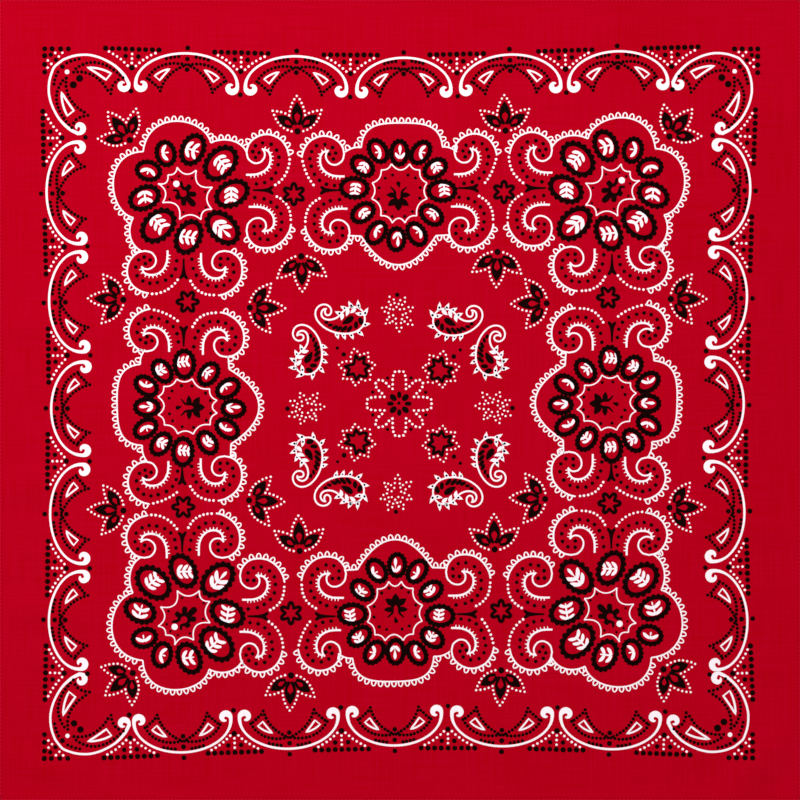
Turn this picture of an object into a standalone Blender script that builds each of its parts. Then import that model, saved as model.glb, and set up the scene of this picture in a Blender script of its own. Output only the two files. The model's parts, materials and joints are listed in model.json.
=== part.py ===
"""A square cotton bandana laid flat: one panel of cloth with a narrow turned hem on each edge.

The cloth rests on the plane z = 0 and its centre is at the origin.  +X runs to the
right of the printed side, +Y to its top and +Z out of the printed side.
"""
import math

import bmesh
import bpy

# ---------------------------------------------------------------- driving dimensions, metres
SIDE = 0.559               # finished square, hem edge to hem edge (22 inches)
CLOTH_WALL = 0.0010        # one layer of cloth, kept thick enough for a stout solid
HEM_WIDTH = 0.0060         # narrow machine hem, turned twice
HEM_HEIGHT = 0.0018        # the hem's layers, pressed flat
HEM_FOLD_ROUND = 0.0006    # radius where the cloth turns back at the outer edge
CORNER_ROUND = 0.0016      # radius of the square's four corners, seen from above
SEAM_GAP = 0.0003          # between neighbouring pieces
PANEL_CELLS = 72           # cells along each side of the panel
HEM_CELLS = 72             # cells along each hem
ROUND_SEGMENTS = 2         # faces round the hem's outer fold
CORNER_SEGMENTS = 3        # faces round each corner of the square

# Low soft ridges where the cloth doesn't lie quite flat, most of them at its side edges.
# Centre and size in metres, turn in degrees from +X, each a smooth swell to its height.
CREASE_COLUMNS = ("name", "x", "y", "turn", "length", "width", "height")
CREASES = (
    ("left_upper", -0.250, 0.162, 4.0, 0.100, 0.036, 0.0007),
    ("left_middle", -0.252, 0.052, -3.0, 0.096, 0.034, 0.0007),
    ("left_lower", -0.249, -0.058, 8.0, 0.110, 0.036, 0.0010),
    ("left_low", -0.246, -0.146, -6.0, 0.108, 0.038, 0.0011),
    ("left_corner", -0.246, -0.252, -17.0, 0.110, 0.032, 0.0010),
    ("right_upper", 0.252, 0.196, 3.0, 0.100, 0.036, 0.0008),
    ("right_middle", 0.254, 0.108, -4.0, 0.090, 0.034, 0.0006),
    ("right_lower", 0.246, -0.088, -12.0, 0.110, 0.038, 0.0010),
    ("right_low", 0.240, -0.140, 60.0, 0.080, 0.036, 0.0008),
    ("right_corner", 0.246, -0.250, 48.0, 0.130, 0.040, 0.0014),
)

CLOTH_RED = (0.522, 0.0, 0.0123, 1.0)
COTTON_ROUGHNESS = 0.85


# ---------------------------------------------------------------- worked out from the above
HALF = SIDE / 2
PANEL_HALF = HALF - HEM_WIDTH - SEAM_GAP


def clear_scene():
    for obj in list(bpy.data.objects):
        bpy.data.objects.remove(obj, do_unlink=True)


def crease_height(x, y):
    """How far the cloth stands off the surface at this place."""
    height = 0.0
    for row in CREASES:
        crease = dict(zip(CREASE_COLUMNS, row))
        turn = math.radians(crease["turn"])
        dx = x - crease["x"]
        dy = y - crease["y"]
        along = (dx * math.cos(turn) + dy * math.sin(turn)) / crease["length"]
        across = (dy * math.cos(turn) - dx * math.sin(turn)) / crease["width"]
        if abs(along) < 0.5 and abs(across) < 0.5:
            swell = math.cos(math.pi * along) ** 2 * math.cos(math.pi * across) ** 2
            height += crease["height"] * swell
    return height


def cotton_material(name):
    material = bpy.data.materials.new(name)
    material.use_nodes = True
    shader = material.node_tree.nodes["Principled BSDF"]
    shader.inputs["Base Color"].default_value = CLOTH_RED
    shader.inputs["Roughness"].default_value = COTTON_ROUGHNESS
    shader.inputs["Metallic"].default_value = 0.0
    return material


def add_object(name, bm, collection):
    """Turn a finished bmesh into a named object with its own material."""
    mesh = bpy.data.meshes.new(name)
    bm.to_mesh(mesh)
    bm.free()
    obj = bpy.data.objects.new(name, mesh)
    collection.objects.link(obj)
    mesh.materials.append(cotton_material(name + "_cotton"))
    return obj


def cloth_panel(collection):
    """The square of cloth: a creased top over a flat underside."""
    bm = bmesh.new()
    bmesh.ops.create_grid(bm, x_segments=PANEL_CELLS, y_segments=PANEL_CELLS, size=PANEL_HALF)
    for vert in bm.verts:
        vert.co.z = CLOTH_WALL + crease_height(vert.co.x, vert.co.y)
    rim = [edge for edge in bm.edges if edge.is_boundary]
    skirt = bmesh.ops.extrude_edge_only(bm, edges=rim)["geom"]
    for vert in (item for item in skirt if isinstance(item, bmesh.types.BMVert)):
        vert.co.z = 0.0
    bmesh.ops.holes_fill(bm, edges=[edge for edge in bm.edges if edge.is_boundary])
    bmesh.ops.triangulate(bm, faces=[face for face in bm.faces if len(face.verts) > 4])
    bmesh.ops.recalc_face_normals(bm, faces=bm.faces)
    return add_object("cloth_panel", bm, collection)


def hem(name, length, centre, outward, has_corners, collection):
    """One turned edge: a low strip, rounded along its outer fold, that follows the creases.

    The strip is made along +X with its fold towards +Y, then turned so that the fold
    faces the direction `outward` (degrees from +X) and moved to its centre.  A hem that
    runs the full width has the square's rounded corners at its ends.
    """
    bm = bmesh.new()
    bmesh.ops.create_cube(bm, size=1.0)
    for vert in bm.verts:
        vert.co.x *= length
        vert.co.y *= HEM_WIDTH
        vert.co.z = HEM_HEIGHT if vert.co.z > 0 else 0.0
    outer = [e for e in bm.edges if all(v.co.y > 0 for v in e.verts)]
    if has_corners:
        upright = [e for e in outer if e.calc_length() < HEM_WIDTH]
        bmesh.ops.bevel(bm, geom=upright, offset=CORNER_ROUND, segments=CORNER_SEGMENTS,
                        profile=0.5, affect="EDGES")
    fold = [e for e in bm.edges if all(v.co.y > HEM_WIDTH * 0.49 for v in e.verts)
            and e.calc_length() > HEM_WIDTH]
    bmesh.ops.bevel(bm, geom=fold, offset=HEM_FOLD_ROUND, segments=ROUND_SEGMENTS, profile=0.5,
                    affect="EDGES")
    long_edges = [e for e in bm.edges if e.calc_length() > length * 0.9]
    bmesh.ops.subdivide_edges(bm, edges=long_edges, cuts=HEM_CELLS - 1, use_grid_fill=True)
    turn = math.radians(outward - 90.0)
    for vert in bm.verts:
        x = vert.co.x * math.cos(turn) - vert.co.y * math.sin(turn) + centre[0]
        y = vert.co.x * math.sin(turn) + vert.co.y * math.cos(turn) + centre[1]
        if vert.co.z > HEM_HEIGHT / 2:
            vert.co.z += crease_height(x, y)
        vert.co.x = x
        vert.co.y = y
    return add_object(name, bm, collection)


def hems(collection):
    """Top and bottom hems run the full width; the side hems are butted between them."""
    middle = HALF - HEM_WIDTH / 2
    side_length = SIDE - 2 * (HEM_WIDTH + SEAM_GAP)
    hem("hem_top", SIDE, (0.0, middle), 90.0, True, collection)
    hem("hem_bottom", SIDE, (0.0, -middle), -90.0, True, collection)
    hem("hem_left", side_length, (-middle, 0.0), 180.0, False, collection)
    hem("hem_right", side_length, (middle, 0.0), 0.0, False, collection)


def build():
    clear_scene()
    collection = bpy.data.collections.new("bandana")
    bpy.context.scene.collection.children.link(collection)
    cloth_panel(collection)
    hems(collection)


build()
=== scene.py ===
"""The looks of a square cotton bandana laid flat: cloth, hems, stitches and print.

The cloth lies on z = 0 with its centre at the origin.  Motifs are drawn in millimetres,
each in a small frame of its own with +Y up, and are then placed on the cloth.
"""
import cmath
import json
import math
import random

import bpy
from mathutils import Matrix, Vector, noise

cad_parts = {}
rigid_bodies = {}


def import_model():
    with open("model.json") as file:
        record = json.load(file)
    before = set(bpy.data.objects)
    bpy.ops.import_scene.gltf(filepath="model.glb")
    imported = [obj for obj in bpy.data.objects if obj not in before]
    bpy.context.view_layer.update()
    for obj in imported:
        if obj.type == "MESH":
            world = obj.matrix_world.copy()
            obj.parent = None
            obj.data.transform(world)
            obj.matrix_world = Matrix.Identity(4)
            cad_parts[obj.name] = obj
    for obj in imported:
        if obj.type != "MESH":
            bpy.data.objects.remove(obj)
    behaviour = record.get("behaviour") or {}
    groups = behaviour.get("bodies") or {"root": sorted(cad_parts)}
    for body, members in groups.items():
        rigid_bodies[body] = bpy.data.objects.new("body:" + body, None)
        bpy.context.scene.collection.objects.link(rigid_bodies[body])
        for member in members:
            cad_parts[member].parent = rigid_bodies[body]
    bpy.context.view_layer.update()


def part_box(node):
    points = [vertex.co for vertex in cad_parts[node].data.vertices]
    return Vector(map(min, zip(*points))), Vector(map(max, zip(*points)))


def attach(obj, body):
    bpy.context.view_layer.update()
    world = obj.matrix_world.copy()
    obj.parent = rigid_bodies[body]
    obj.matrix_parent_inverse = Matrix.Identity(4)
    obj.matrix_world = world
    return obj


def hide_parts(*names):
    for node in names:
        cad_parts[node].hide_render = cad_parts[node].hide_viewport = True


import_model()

bl_info = {
    "name": "Printed bandana",
    "version": (1, 0, 0),
    "blender": (4, 5, 0),
    "location": "3D View > Sidebar > Bandana",
    "description": "Builds a hemmed cotton bandana with a traditional print",
    "category": "Add Mesh",
}

MM = 0.001
BODY = "root"
HEM_TURNS = (("hem_top", 0), ("hem_left", 90), ("hem_bottom", 180), ("hem_right", -90))
LOW, HIGH = (Vector(corner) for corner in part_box("hem_top"))
SIDE = HIGH.x - LOW.x                    # finished square, hem edge to hem edge
HEM_WIDTH = HIGH.y - LOW.y
HALF = SIDE / 2
PANEL_HALF = HALF - HEM_WIDTH            # where the hem's inner fold lies
EDGE_CELL = 0.3 * MM                     # narrow outermost cells, so the light turns at the very edge
BAKE_MAP = "OFBake"
WHITE, BLACK = "white", "black"

# Low soft ridges, most of them at the side edges.  Metres, with turn in degrees from +X.
CREASE_COLUMNS = ("name", "x", "y", "turn", "length", "width", "height")
CREASES = (
    ("left_upper", -0.250, 0.162, 4.0, 0.100, 0.036, 0.0007),
    ("left_middle", -0.252, 0.052, -3.0, 0.096, 0.034, 0.0007),
    ("left_lower", -0.249, -0.058, 8.0, 0.110, 0.036, 0.0010),
    ("left_low", -0.246, -0.146, -6.0, 0.108, 0.038, 0.0011),
    ("left_corner", -0.246, -0.252, -17.0, 0.110, 0.032, 0.0010),
    ("right_upper", 0.252, 0.196, 3.0, 0.100, 0.036, 0.0008),
    ("right_middle", 0.254, 0.108, -4.0, 0.090, 0.034, 0.0006),
    ("right_lower", 0.246, -0.088, -12.0, 0.110, 0.038, 0.0010),
    ("right_low", 0.240, -0.140, 60.0, 0.080, 0.036, 0.0008),
    ("right_corner", 0.246, -0.250, 48.0, 0.130, 0.040, 0.0014),
)

# ---------------------------------------------------------------- the print's layout, mm
# Border junctions, where two scallops meet: how far along the side, in the direction that
# is on the right when the side is seen with its edge up, and how far out their dots are.
BORDER_COLUMNS = ("side", "turn", "along", "depth")
BORDER = (
    ("top", 0, (-184, -109, -34, 39, 113.5, 186.5), (241, 238.5, 237, 237.5, 240, 242)),
    ("left", 90, (-187.5, -115.5, -42, 30.5, 105, 180), (243.5, 242, 242, 241.5, 243.5, 245)),
    ("bottom", 180, (-181, -107.5, -33, 40, 113.5, 185), (243, 240, 239, 240, 242, 245)),
    ("right", -90, (-181, -107.5, -33, 40, 114.5, 187.5), (243.5, 241, 239, 237.5, 238.5, 241.5)),
)
SCALLOP_PITCH = 74.0       # the width that a scallop is drawn for
# How each scallop of a side lies between its junctions: its slide along the side, its rise
# towards the edge and its share of the width.
SCALLOP_COLUMNS = ("slide", "rise", "share")
SCALLOPS = ((0.5, -0.5, 0.99), (0.4, -0.5, 0.985), (0.0, -1.0, 0.94), (-0.9, -0.3, 0.98),
            (-0.6, -0.3, 0.99))

PLACE_COLUMNS = ("name", "x", "y", "turn", "mirror")
BORDER_CORNERS = (
    ("top_left", -245, 241.5, 0, False),
    ("top_right", 246, 242, -90, False),
    ("bottom_right", 243, -246, 180, False),
    ("bottom_left", -244.5, -247, 90, False),
)
SPRIGS = (
    ("top_1", -70.5, 184.5, 1, False),
    ("top_2", 72.5, 185, 2, False),
    ("left_1", -190, 69, 88, False),
    ("left_2", -190, -76, 88, False),
    ("right_1", 186, 69.5, -90, False),
    ("right_2", 185, -74, -89, False),
    ("bottom_1", -75, -189, 178, False),
    ("bottom_2", 69.5, -185.5, 178, False),
    ("corner_1", -185.5, 178.5, 38, False),
    ("corner_2", 185, 181, -40, False),
    ("corner_3", 181, -185, -130, False),
    ("corner_4", -183.5, -187.5, 129, False),
    ("inner_1", -68, 99, 182, False),
    ("inner_2", 67, 102, 178, False),
    ("inner_3", -103.5, 63.5, -91, False),
    ("inner_4", 101, 66.5, 91, False),
    ("inner_5", -104, -69, -92, False),
    ("inner_6", 100, -68, 88, False),
    ("inner_7", -69, -104, 2, False),
    ("inner_8", 65, -103, 1, False),
)
CORNER_MEDALLIONS = (
    ("top_left", -147, 143.5, 0, False),
    ("top_right", 145.5, 146, -1, True),
    ("bottom_left", -150, -149, 91, False),
    ("bottom_right", 146, -147, -91, True),
)
SIDE_MEDALLIONS = (
    ("top", -1.5, 140, 0, False),
    ("left", -144, -5.5, 91, False),
    ("right", 140, -3, -91, True),
    ("bottom", -2.5, -143, 181, False),
)
# Groups of four scrolls: the way from a group's middle to the middle of a curl, and the
# side, left (-1) or right (1), on which the corner's medallion is.
SCROLL_COLUMNS = ("name", "x", "y", "turn", "curl_x", "curl_y", "corner")
SCROLL_GROUPS = (
    ("top_1", -71, 143, 0, 27.5, 25.5, -1),
    ("top_2", 70, 144.5, 0, 27.5, 25.5, 1),
    ("left_1", -147.5, 67, 90, 28.5, 26, 1),
    ("left_2", -148.5, -74.5, 90, 27, 25.5, -1),
    ("bottom_1", -74.5, -147.5, 180, 28.5, 25.5, 1),
    ("bottom_2", 69, -146, 180, 28.5, 25.5, -1),
    ("right_1", 144.5, 70, -90, 28.5, 26, -1),
    ("right_2", 144, -72, -90, 27.5, 25.5, 1),
)
GAP_FLOWERS = (
    ("top_1", -73, 141.5, 0, False),
    ("top_2", 71.5, 143, 0, False),
    ("left_1", -146, 67.5, 90, False),
    ("left_2", -149, -73.5, 90, False),
    ("bottom_1", -75, -146.5, 180, False),
    ("bottom_2", 69.5, -145, 180, False),
    ("right_1", 143, 70.5, -90, False),
    ("right_2", 144, -71, -90, False),
)
CENTRE_FLOWER = (-0.5, -2.5)
STARS = (
    ("top_left", -29.5, 22.5, 46, False),
    ("top_right", 28, 21, -45, False),
    ("bottom_left", -29.5, -29, 135, False),
    ("bottom_right", 28, -30, -135, False),
)
DOTTED_FLOWERS = (
    ("top", -1.5, 59, 0, False),
    ("left", -64, -5.5, 90, False),
    ("right", 64, -5, -90, True),
    ("bottom", -2.5, -63.5, 180, True),
)
PAISLEYS = (
    ("top_left_1", -50.5, 60, -1, False),
    ("top_left_2", -68, 44, 91, True),
    ("top_right_1", 49, 59, 2, True),
    ("top_right_2", 66.5, 43.5, -91, False),
    ("bottom_left_1", -51, -67, 182, True),
    ("bottom_left_2", -68, -52, 88, False),
    ("bottom_right_1", 49, -67.5, 179, False),
    ("bottom_right_2", 67, -52, -89, True),
)

# A medallion's petals are alike on both sides of its axis.  Those on the axis and to the right
# of it: how many degrees round from the axis each one is, how far out, its inner half length and
# half width, and how many degrees its long axis leans past the way outwards.
PETAL_COLUMNS = ("round", "reach", "long", "short", "slant")
CORNER_AXIS = 135
CORNER_PETALS = (
    (16.5, 29.5, 6.5, 4.5, 15),
    (54, 29, 8.5, 5.5, 16),
    (96, 30.5, 10.5, 7.0, -8),
    (138, 31.5, 9.5, 6.0, -30),
    (180, 35.5, 10.5, 6.5, 0),
)
SIDE_AXIS = 88
SIDE_PETALS = (
    (0, 30.0, 6.5, 4.0, 0),
    (25.5, 34.0, 6.5, 4.0, 9),
    (51.5, 32.0, 6.5, 4.0, 2),
    (81, 30.5, 7.5, 5.0, 8),
    (117, 26.5, 6.5, 4.0, 9),
    (151.5, 29.0, 6.5, 4.0, -6),
    (180, 29.5, 6.0, 4.0, 0),
)
# Clockwise from the first petal: the point of the hollow frame after the petal, how deep the
# frame's arc before that point is, and the leaf spray inside the petal: its apex, the way
# its stem points, its pairs of leaves, their spacing along the stem, their reach and spread,
# and the length of what ends the stem.
SPRAY_COLUMNS = ("frame_x", "frame_y", "bow", "apex_x", "apex_y", "stem", "pairs", "step",
                 "reach", "spread", "bar")
CORNER_SPRAYS = (
    (-6.2, 16.4, 0.25, -17.4, 26.0, 8, 1, 4.0, 6.8, 50, 4.6),
    (7.0, 14.5, 0.28, -0.8, 30.0, -18, 2, 4.5, 7.2, 50, 4.6),
    (18.0, 2.8, 0.35, 21.0, 23.8, -51, 3, 3.8, 6.7, 51, 2.2),
    (17.7, -12.4, 0.24, 31.0, 3.4, -90, 3, 3.8, 6.5, 45, 2.2),
    (10.2, -19.5, 0.28, 19.2, -20.9, -43, 2, 4.8, 8.8, 39, 9.6),
    (-4.5, -19.4, 0.22, -5.0, -30.6, -9, 3, 4.1, 6.3, 52, 2.6),
    (-16.2, -7.9, 0.34, -23.6, -17.3, -46, 3, 4.2, 6.8, 47, 1.6),
    (-19.3, 5.2, 0.27, -28.8, 0.8, -84, 2, 4.7, 6.8, 48, 3.2),
    (-12.5, 11.3, 0.34, -25.3, 16.3, -107, 1, 4.0, 6.9, 48, 4.0),
)
SIDE_SPRAYS = (
    (8.2, 22.3, 0.33, 1.5, 25.2, 90, 1, 4.0, 5.8, 33, 9.0),
    (15.2, 18.2, 0.19, 14.3, 30.9, -13, 1, 4.0, 6.2, 50, 3.8),
    (20.1, 9.2, 0.19, 24.6, 23.6, -62, 2, 3.3, 5.3, 42, 3.4),
    (20.1, -1.6, 0.19, 31.4, 9.4, -84, 3, 3.1, 4.7, 51, 0.0),
    (13.0, -13.4, 0.20, 26.7, -9.0, -132, 2, 3.2, 5.1, 50, 2.8),
    (5.0, -18.3, 0.20, 16.1, -22.8, 215, 1, 4.0, 6.2, 49, 3.6),
    (-3.8, -18.3, 0.37, 0.2, -24.0, -91, 1, 4.0, 6.4, 32, 9.4),
    (-11.8, -13.4, 0.20, -15.9, -22.2, -31, 1, 4.0, 6.4, 51, 3.8),
    (-18.0, -1.6, 0.20, -25.6, -9.2, -46, 2, 3.2, 5.3, 50, 3.0),
    (-17.6, 9.2, 0.19, -28.6, 9.5, -97, 3, 3.1, 4.7, 51, 0.0),
    (-11.4, 18.2, 0.19, -21.8, 23.6, -118, 2, 3.3, 5.3, 42, 3.4),
    (-4.4, 22.3, 0.19, -11.0, 31.0, 193, 1, 4.0, 6.3, 50, 3.8),
)
# Small black dots inside the medallions' frames.
CORNER_FRAME_DOTS = ((-9.8, 7.9), (-5.0, 10.4), (4.1, 9.0), (13.0, -0.4), (13.5, -10.9),
                     (9.0, -15.2), (-1.8, -14.5), (-11.5, -5.4), (-12.5, 3.0))
SIDE_FRAME_DOTS = ((-12.8, 5.9), (-8.6, 12.4), (-3.7, 14.6), (7.0, 14.6), (12.0, 12.6), (15.5, 6.0),
                   (15.1, -1.2), (10.0, -10.5), (4.8, -13.7), (-3.8, -13.8), (-8.6, -10.7),
                   (-13.3, -1.8))

# Leaf barbs round a paisley: where each starts, the way it points, its length and its eye.
BARB_COLUMNS = ("x", "y", "turn", "length", "eye")
PAISLEY_BARBS = (
    (6.6, -14.0, -68, 4.6, 0.4),
    (11.2, -14.4, -64, 4.6, 0.35),
    (16.4, -14.2, -60, 4.6, 0.55),
    (21.6, -12.6, -38, 5.2, 0.6),
    (25.4, -8.4, 14, 5.2, 0.55),
    (26.0, -1.6, 64, 6.4, 0.65),
    (22.4, 3.6, 98, 5.8, 0.6),
    (17.8, 4.0, 122, 5.2, 0.6),
    (13.8, 3.0, 156, 4.8, 0.45),
    (10.4, -0.4, 162, 5.0, 0.55),
    (24.9, -0.4, 172, 5.4, 0.5),
    (19.4, 3.2, 222, 4.6, 0),
    (14.6, 2.4, 254, 4.8, 0),
    (10.6, -0.8, 262, 4.4, 0),
)
BAR_COLUMNS = ("x", "y", "turn", "length", "width")
PAISLEY_BARS = (
    (0.0, -6.7, -12, 3.0, 1.8),
    (2.7, -8.5, 10, 3.4, 1.7),
    (6.0, -9.9, 26, 4.4, 2.1),
    (8.8, -10.8, 40, 4.8, 2.1),
    (12.3, -10.9, 47, 5.6, 2.3),
    (16.0, -10.8, 52, 5.4, 2.3),
    (20.4, -8.1, 88, 5.0, 2.5),
    (23.6, -5.3, 110, 5.2, 3.0),
)

# The two kinds of scroll, each round the middle of its curl with the gap on its right:
# knots of the lace, the hook, the comb's spine, the beads and the ring of dots.
SCROLL_KINDS = {
    "outer": {
        "lace": ((22.4, -0.9), (20.6, 5.0), (16.4, 10.6), (9.6, 13.8), (3.2, 13.5), (-2.4, 10.6),
                 (-5.8, 6.4), (-6.9, 1.6)),
        "loop_ends": ((22.4, -0.9), (-5.8, 6.4)),
        "hook": ((-6.9, 1.6), (-5.6, -2.9), (-1.6, -5.7), (2.6, -5.1), (5.3, -1.8), (5.5, 1.6),
                 (3.9, 4.3)),
        "comb": ((5.4, 3.6), (8.2, 2.2), (9.6, -1.6), (9.0, -6.6), (6.0, -10.7), (1.0, -13.2),
                 (-4.0, -13.8)),
        "comb_end": -7.2, "teeth": 13, "loops": 8,
        "beads": ((8, (22.7, -3.2), (22.4, -14.2), (13.0, -20.8)),
                  (7, (21.7, -3.5), (19.6, -12.9), (14.2, -19.6))),
        "dots": ((-2.6, 2.2), (-0.8, 6.1), (4.2, 8.1), (10.1, 7.2), (13.8, 3.2), (15.4, -1.7),
                 (14.9, -6.8), (13.2, -12.4), (10.2, -16.6), (5.6, -19.2), (0.0, -20.1),
                 (1.8, 1.4), (-0.7, -1.9)),
    },
    "inner": {
        "lace": ((23.6, -3.3), (22.2, 1.9), (18.0, 8.2), (11.8, 12.3), (4.6, 13.2), (-1.5, 11.4),
                 (-5.8, 6.5), (-7.1, 1.2)),
        "loop_ends": ((23.5, -1.9), (-6.8, 4.9)),
        "hook": ((-7.1, 1.2), (-6.0, -3.4), (-2.4, -6.7), (2.2, -7.3), (5.6, -4.9), (6.2, -0.8),
                 (3.8, 2.1)),
        "comb": ((5.2, 1.6), (9.0, 0.7), (11.6, -2.8), (11.3, -8.2), (8.0, -12.5), (3.0, -14.7),
                 (-1.8, -15.1)),
        "comb_end": -5.6, "teeth": 15, "loops": 9,
        "beads": ((8, (23.3, -6.3), (23.4, -17.5), (13.7, -22.2)),
                  (8, (23.3, -6.3), (23.4, -17.5), (13.7, -22.2))),
        "dots": ((-1.6, 3.4), (2.2, 6.9), (7.6, 7.5), (13.2, 4.8), (16.5, 0.6), (17.2, -4.6),
                 (16.6, -10.4), (13.8, -14.9), (9.6, -18.3), (4.9, -20.5), (-1.4, -21.4),
                 (-1.9, -1.7), (2.5, -1.8)),
    },
}
# How far a scroll lies off its place, towards the gap and outwards, and how its dots lean
# about a level: on the side of the corner's medallion, then on the other side.
SHIFT_COLUMNS = ("towards", "outwards", "lean", "level")
SCROLL_SHIFTS = {
    "outer": ((-0.1, 0.1, 0.0, 0.0), (1.8, -1.0, 0.085, -16.0)),
    "inner": ((0.1, -0.2, 0.0, 0.0), (-1.8, 1.1, -0.08, -5.0)),
}

# Beads of the centre flower, in the frame of a lobe: half of a lobe on an axis, whose first
# bead is in the valley, and half of a lobe between two axes.
AXIS_LOBE = ((4.7, 10.2), (4.6, 13.3), (4.6, 16.4), (4.1, 19.3), (2.9, 21.9))
DIAGONAL_LOBE = ((3.4, 13.4), (3.6, 16.3), (3.1, 19.2), (1.5, 21.5))
# The points of a dotted flower: its tip, two flanks and two feet, and an inner bead.
POINT_COLUMNS = ("turn", "reach", "foot_turn", "foot", "half", "inner_turn", "inner")
FLOWER_POINTS = (
    (115, 13.3, 117, 8.0, 10.5, 100, 5.0),
    (67, 12.4, 76, 7.1, 10.0, 67, 3.5),
    (24, 11.2, 22, 5.6, 17.0, -8, 3.4),
    (-36, 12.4, -33, 6.8, 14.5, -50, 4.4),
    (-85, 12.0, -85, 6.5, 15.0, -114, 3.4),
    (-142, 10.4, -144, 6.2, 17.5, -167, 3.4),
    (158, 11.6, 160, 6.5, 13.0, 133, 4.5),
)


# ================================================================ settings
def length(name, description, default):
    return bpy.props.FloatProperty(name=name, description=description, default=default,
                                   min=0.0, unit="LENGTH", precision=5)


def colour(name, description, default):
    return bpy.props.StringProperty(name=name, description=description, default=default)


class BandanaCloth(bpy.types.PropertyGroup):
    thickness: length("Cloth thickness", "One layer of cotton", 0.35 * MM)
    hem_height: length("Hem height", "Three layers, pressed flat", 0.95 * MM)
    edge_rise: length("Edge rise", "How far the cloth comes up to meet its hems", 0.45 * MM)
    edge_run: length("Edge run", "Width of the strip that comes up", 11.5 * MM)
    ripple: length("Ripple", "Height of the slight unevenness all over", 0.10 * MM)
    thread: length("Thread spacing", "Spacing at which the weave is drawn", 0.80 * MM)
    deep_red: colour("Deep dye", "Colour of the threads that took the most dye", "#970001")
    bright_red: colour("Bright dye", "Colour of the threads that took the least dye", "#AA0022")
    cells: bpy.props.IntProperty(name="Cells", description="Cells along a side of the cloth",
                                 default=190, min=20)


class BandanaStitching(bpy.types.PropertyGroup):
    pitch: length("Stitch pitch", "From one stitch to the next", 2.65 * MM)
    inset: length("Row inset", "From the cloth's edge to the row", 4.8 * MM)
    thread: length("Thread", "Diameter of the sewing thread", 0.34 * MM)
    pink: colour("Thread colour", "Colour of the sewing thread", "#AA1030")


class BandanaPrint(bpy.types.PropertyGroup):
    white_lift: length("White lift", "How far the white ink stands on the cloth", 0.07 * MM)
    black_lift: length("Black lift", "How far the black ink stands on the cloth", 0.11 * MM)
    film: length("Ink film", "Thickness of the ink's slab, partly in the cloth", 0.12 * MM)
    white_spread: length("White spread", "How far white ink runs out past its drawing", -0.25 * MM)
    black_spread: length("Black spread", "How far black ink runs out past its drawing", 0.22 * MM)
    thin_white: colour("Thin white", "White ink where it is thinnest", "#DBCFD4")
    full_white: colour("Full white", "White ink where it is thickest", "#ECE4E8")
    full_black: colour("Full black", "Black ink where it is thickest", "#080000")
    thin_black: colour("Thin black", "Black ink where it is thinnest", "#110202")


class BandanaStage(bpy.types.PropertyGroup):
    camera_height: length("Camera height", "Height of the camera over the cloth", 2.5)
    field: length("Field", "Width of cloth that the picture takes in", 0.55)
    floor: colour("Floor", "Colour of the surface under the cloth", "#DAD7D2")


SETTINGS = (
    ("bandana_cloth", BandanaCloth),
    ("bandana_stitching", BandanaStitching),
    ("bandana_print", BandanaPrint),
    ("bandana_stage", BandanaStage),
)


# ================================================================ shapes of the cloth
def rows(columns, table):
    """Each row of a table as a dictionary."""
    return [dict(zip(columns, row)) for row in table]


def crease_height(x, y):
    """How far the cloth stands off the surface at this place, in metres."""
    height = 0.0
    for crease in rows(CREASE_COLUMNS, CREASES):
        turn = math.radians(crease["turn"])
        dx = x - crease["x"]
        dy = y - crease["y"]
        along = (dx * math.cos(turn) + dy * math.sin(turn)) / crease["length"]
        across = (dy * math.cos(turn) - dx * math.sin(turn)) / crease["width"]
        if abs(along) < 0.5 and abs(across) < 0.5:
            swell = math.cos(math.pi * along) ** 2 * math.cos(math.pi * across) ** 2
            height += crease["height"] * swell
    return height


def cloth_surface(x, y):
    """Height of the printed side, in metres."""
    cloth = bpy.context.scene.bandana_cloth
    broad = noise.noise(Vector((x * 14.0, y * 14.0, 3.1)))
    fine = noise.noise(Vector((x * 55.0, y * 55.0, 7.7)))
    ripple = cloth.ripple * (0.5 + 0.35 * broad + 0.15 * fine)
    inwards = PANEL_HALF - max(abs(x), abs(y))
    rise = cloth.edge_rise * max(0.0, 1 - inwards / cloth.edge_run) ** 2
    return cloth.thickness + crease_height(x, y) + ripple + rise


# ================================================================ small tools
def linear(hex_colour):
    """sRGB hex to linear RGBA."""
    channels = [int(hex_colour[i:i + 2], 16) / 255 for i in (1, 3, 5)]
    return [c / 12.92 if c <= 0.04045 else ((c + 0.055) / 1.055) ** 2.4 for c in channels] + [1.0]


def select_only(*objects):
    bpy.ops.object.select_all(action="DESELECT")
    for obj in objects:
        obj.select_set(True)
    bpy.context.view_layer.objects.active = objects[0]


def add_object(name, data):
    obj = bpy.data.objects.new(name, data)
    bpy.context.collection.objects.link(obj)
    return obj


def apply_modifier(obj, kind, **settings):
    select_only(obj)
    modifier = obj.modifiers.new(kind.title(), kind)
    for key, value in settings.items():
        setattr(modifier, key, value)
    bpy.ops.object.modifier_apply(modifier=modifier.name)


def joined(objects, name):
    """Join meshes into one named object."""
    select_only(*objects)
    if len(objects) > 1:
        bpy.ops.object.join()
    obj = bpy.context.view_layer.objects.active
    obj.name = name
    obj.data.name = name
    return obj


def smooth_top(mesh):
    """Shade what looks up smoothly, and leave the thin sides and the underside flat."""
    for face in mesh.polygons:
        face.use_smooth = face.normal.z > 0.2


def lay_flat_map(obj):
    """A map of the cloth seen from above, shared by all that lies on it."""
    mesh = obj.data
    for old in list(mesh.uv_layers):
        mesh.uv_layers.remove(old)
    layer = mesh.uv_layers.new(name=BAKE_MAP)
    span = SIDE * 1.02
    for loop in mesh.loops:
        at = mesh.vertices[loop.vertex_index].co
        layer.data[loop.index].uv = (at.x / span + 0.5, at.y / span + 0.5)


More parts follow.
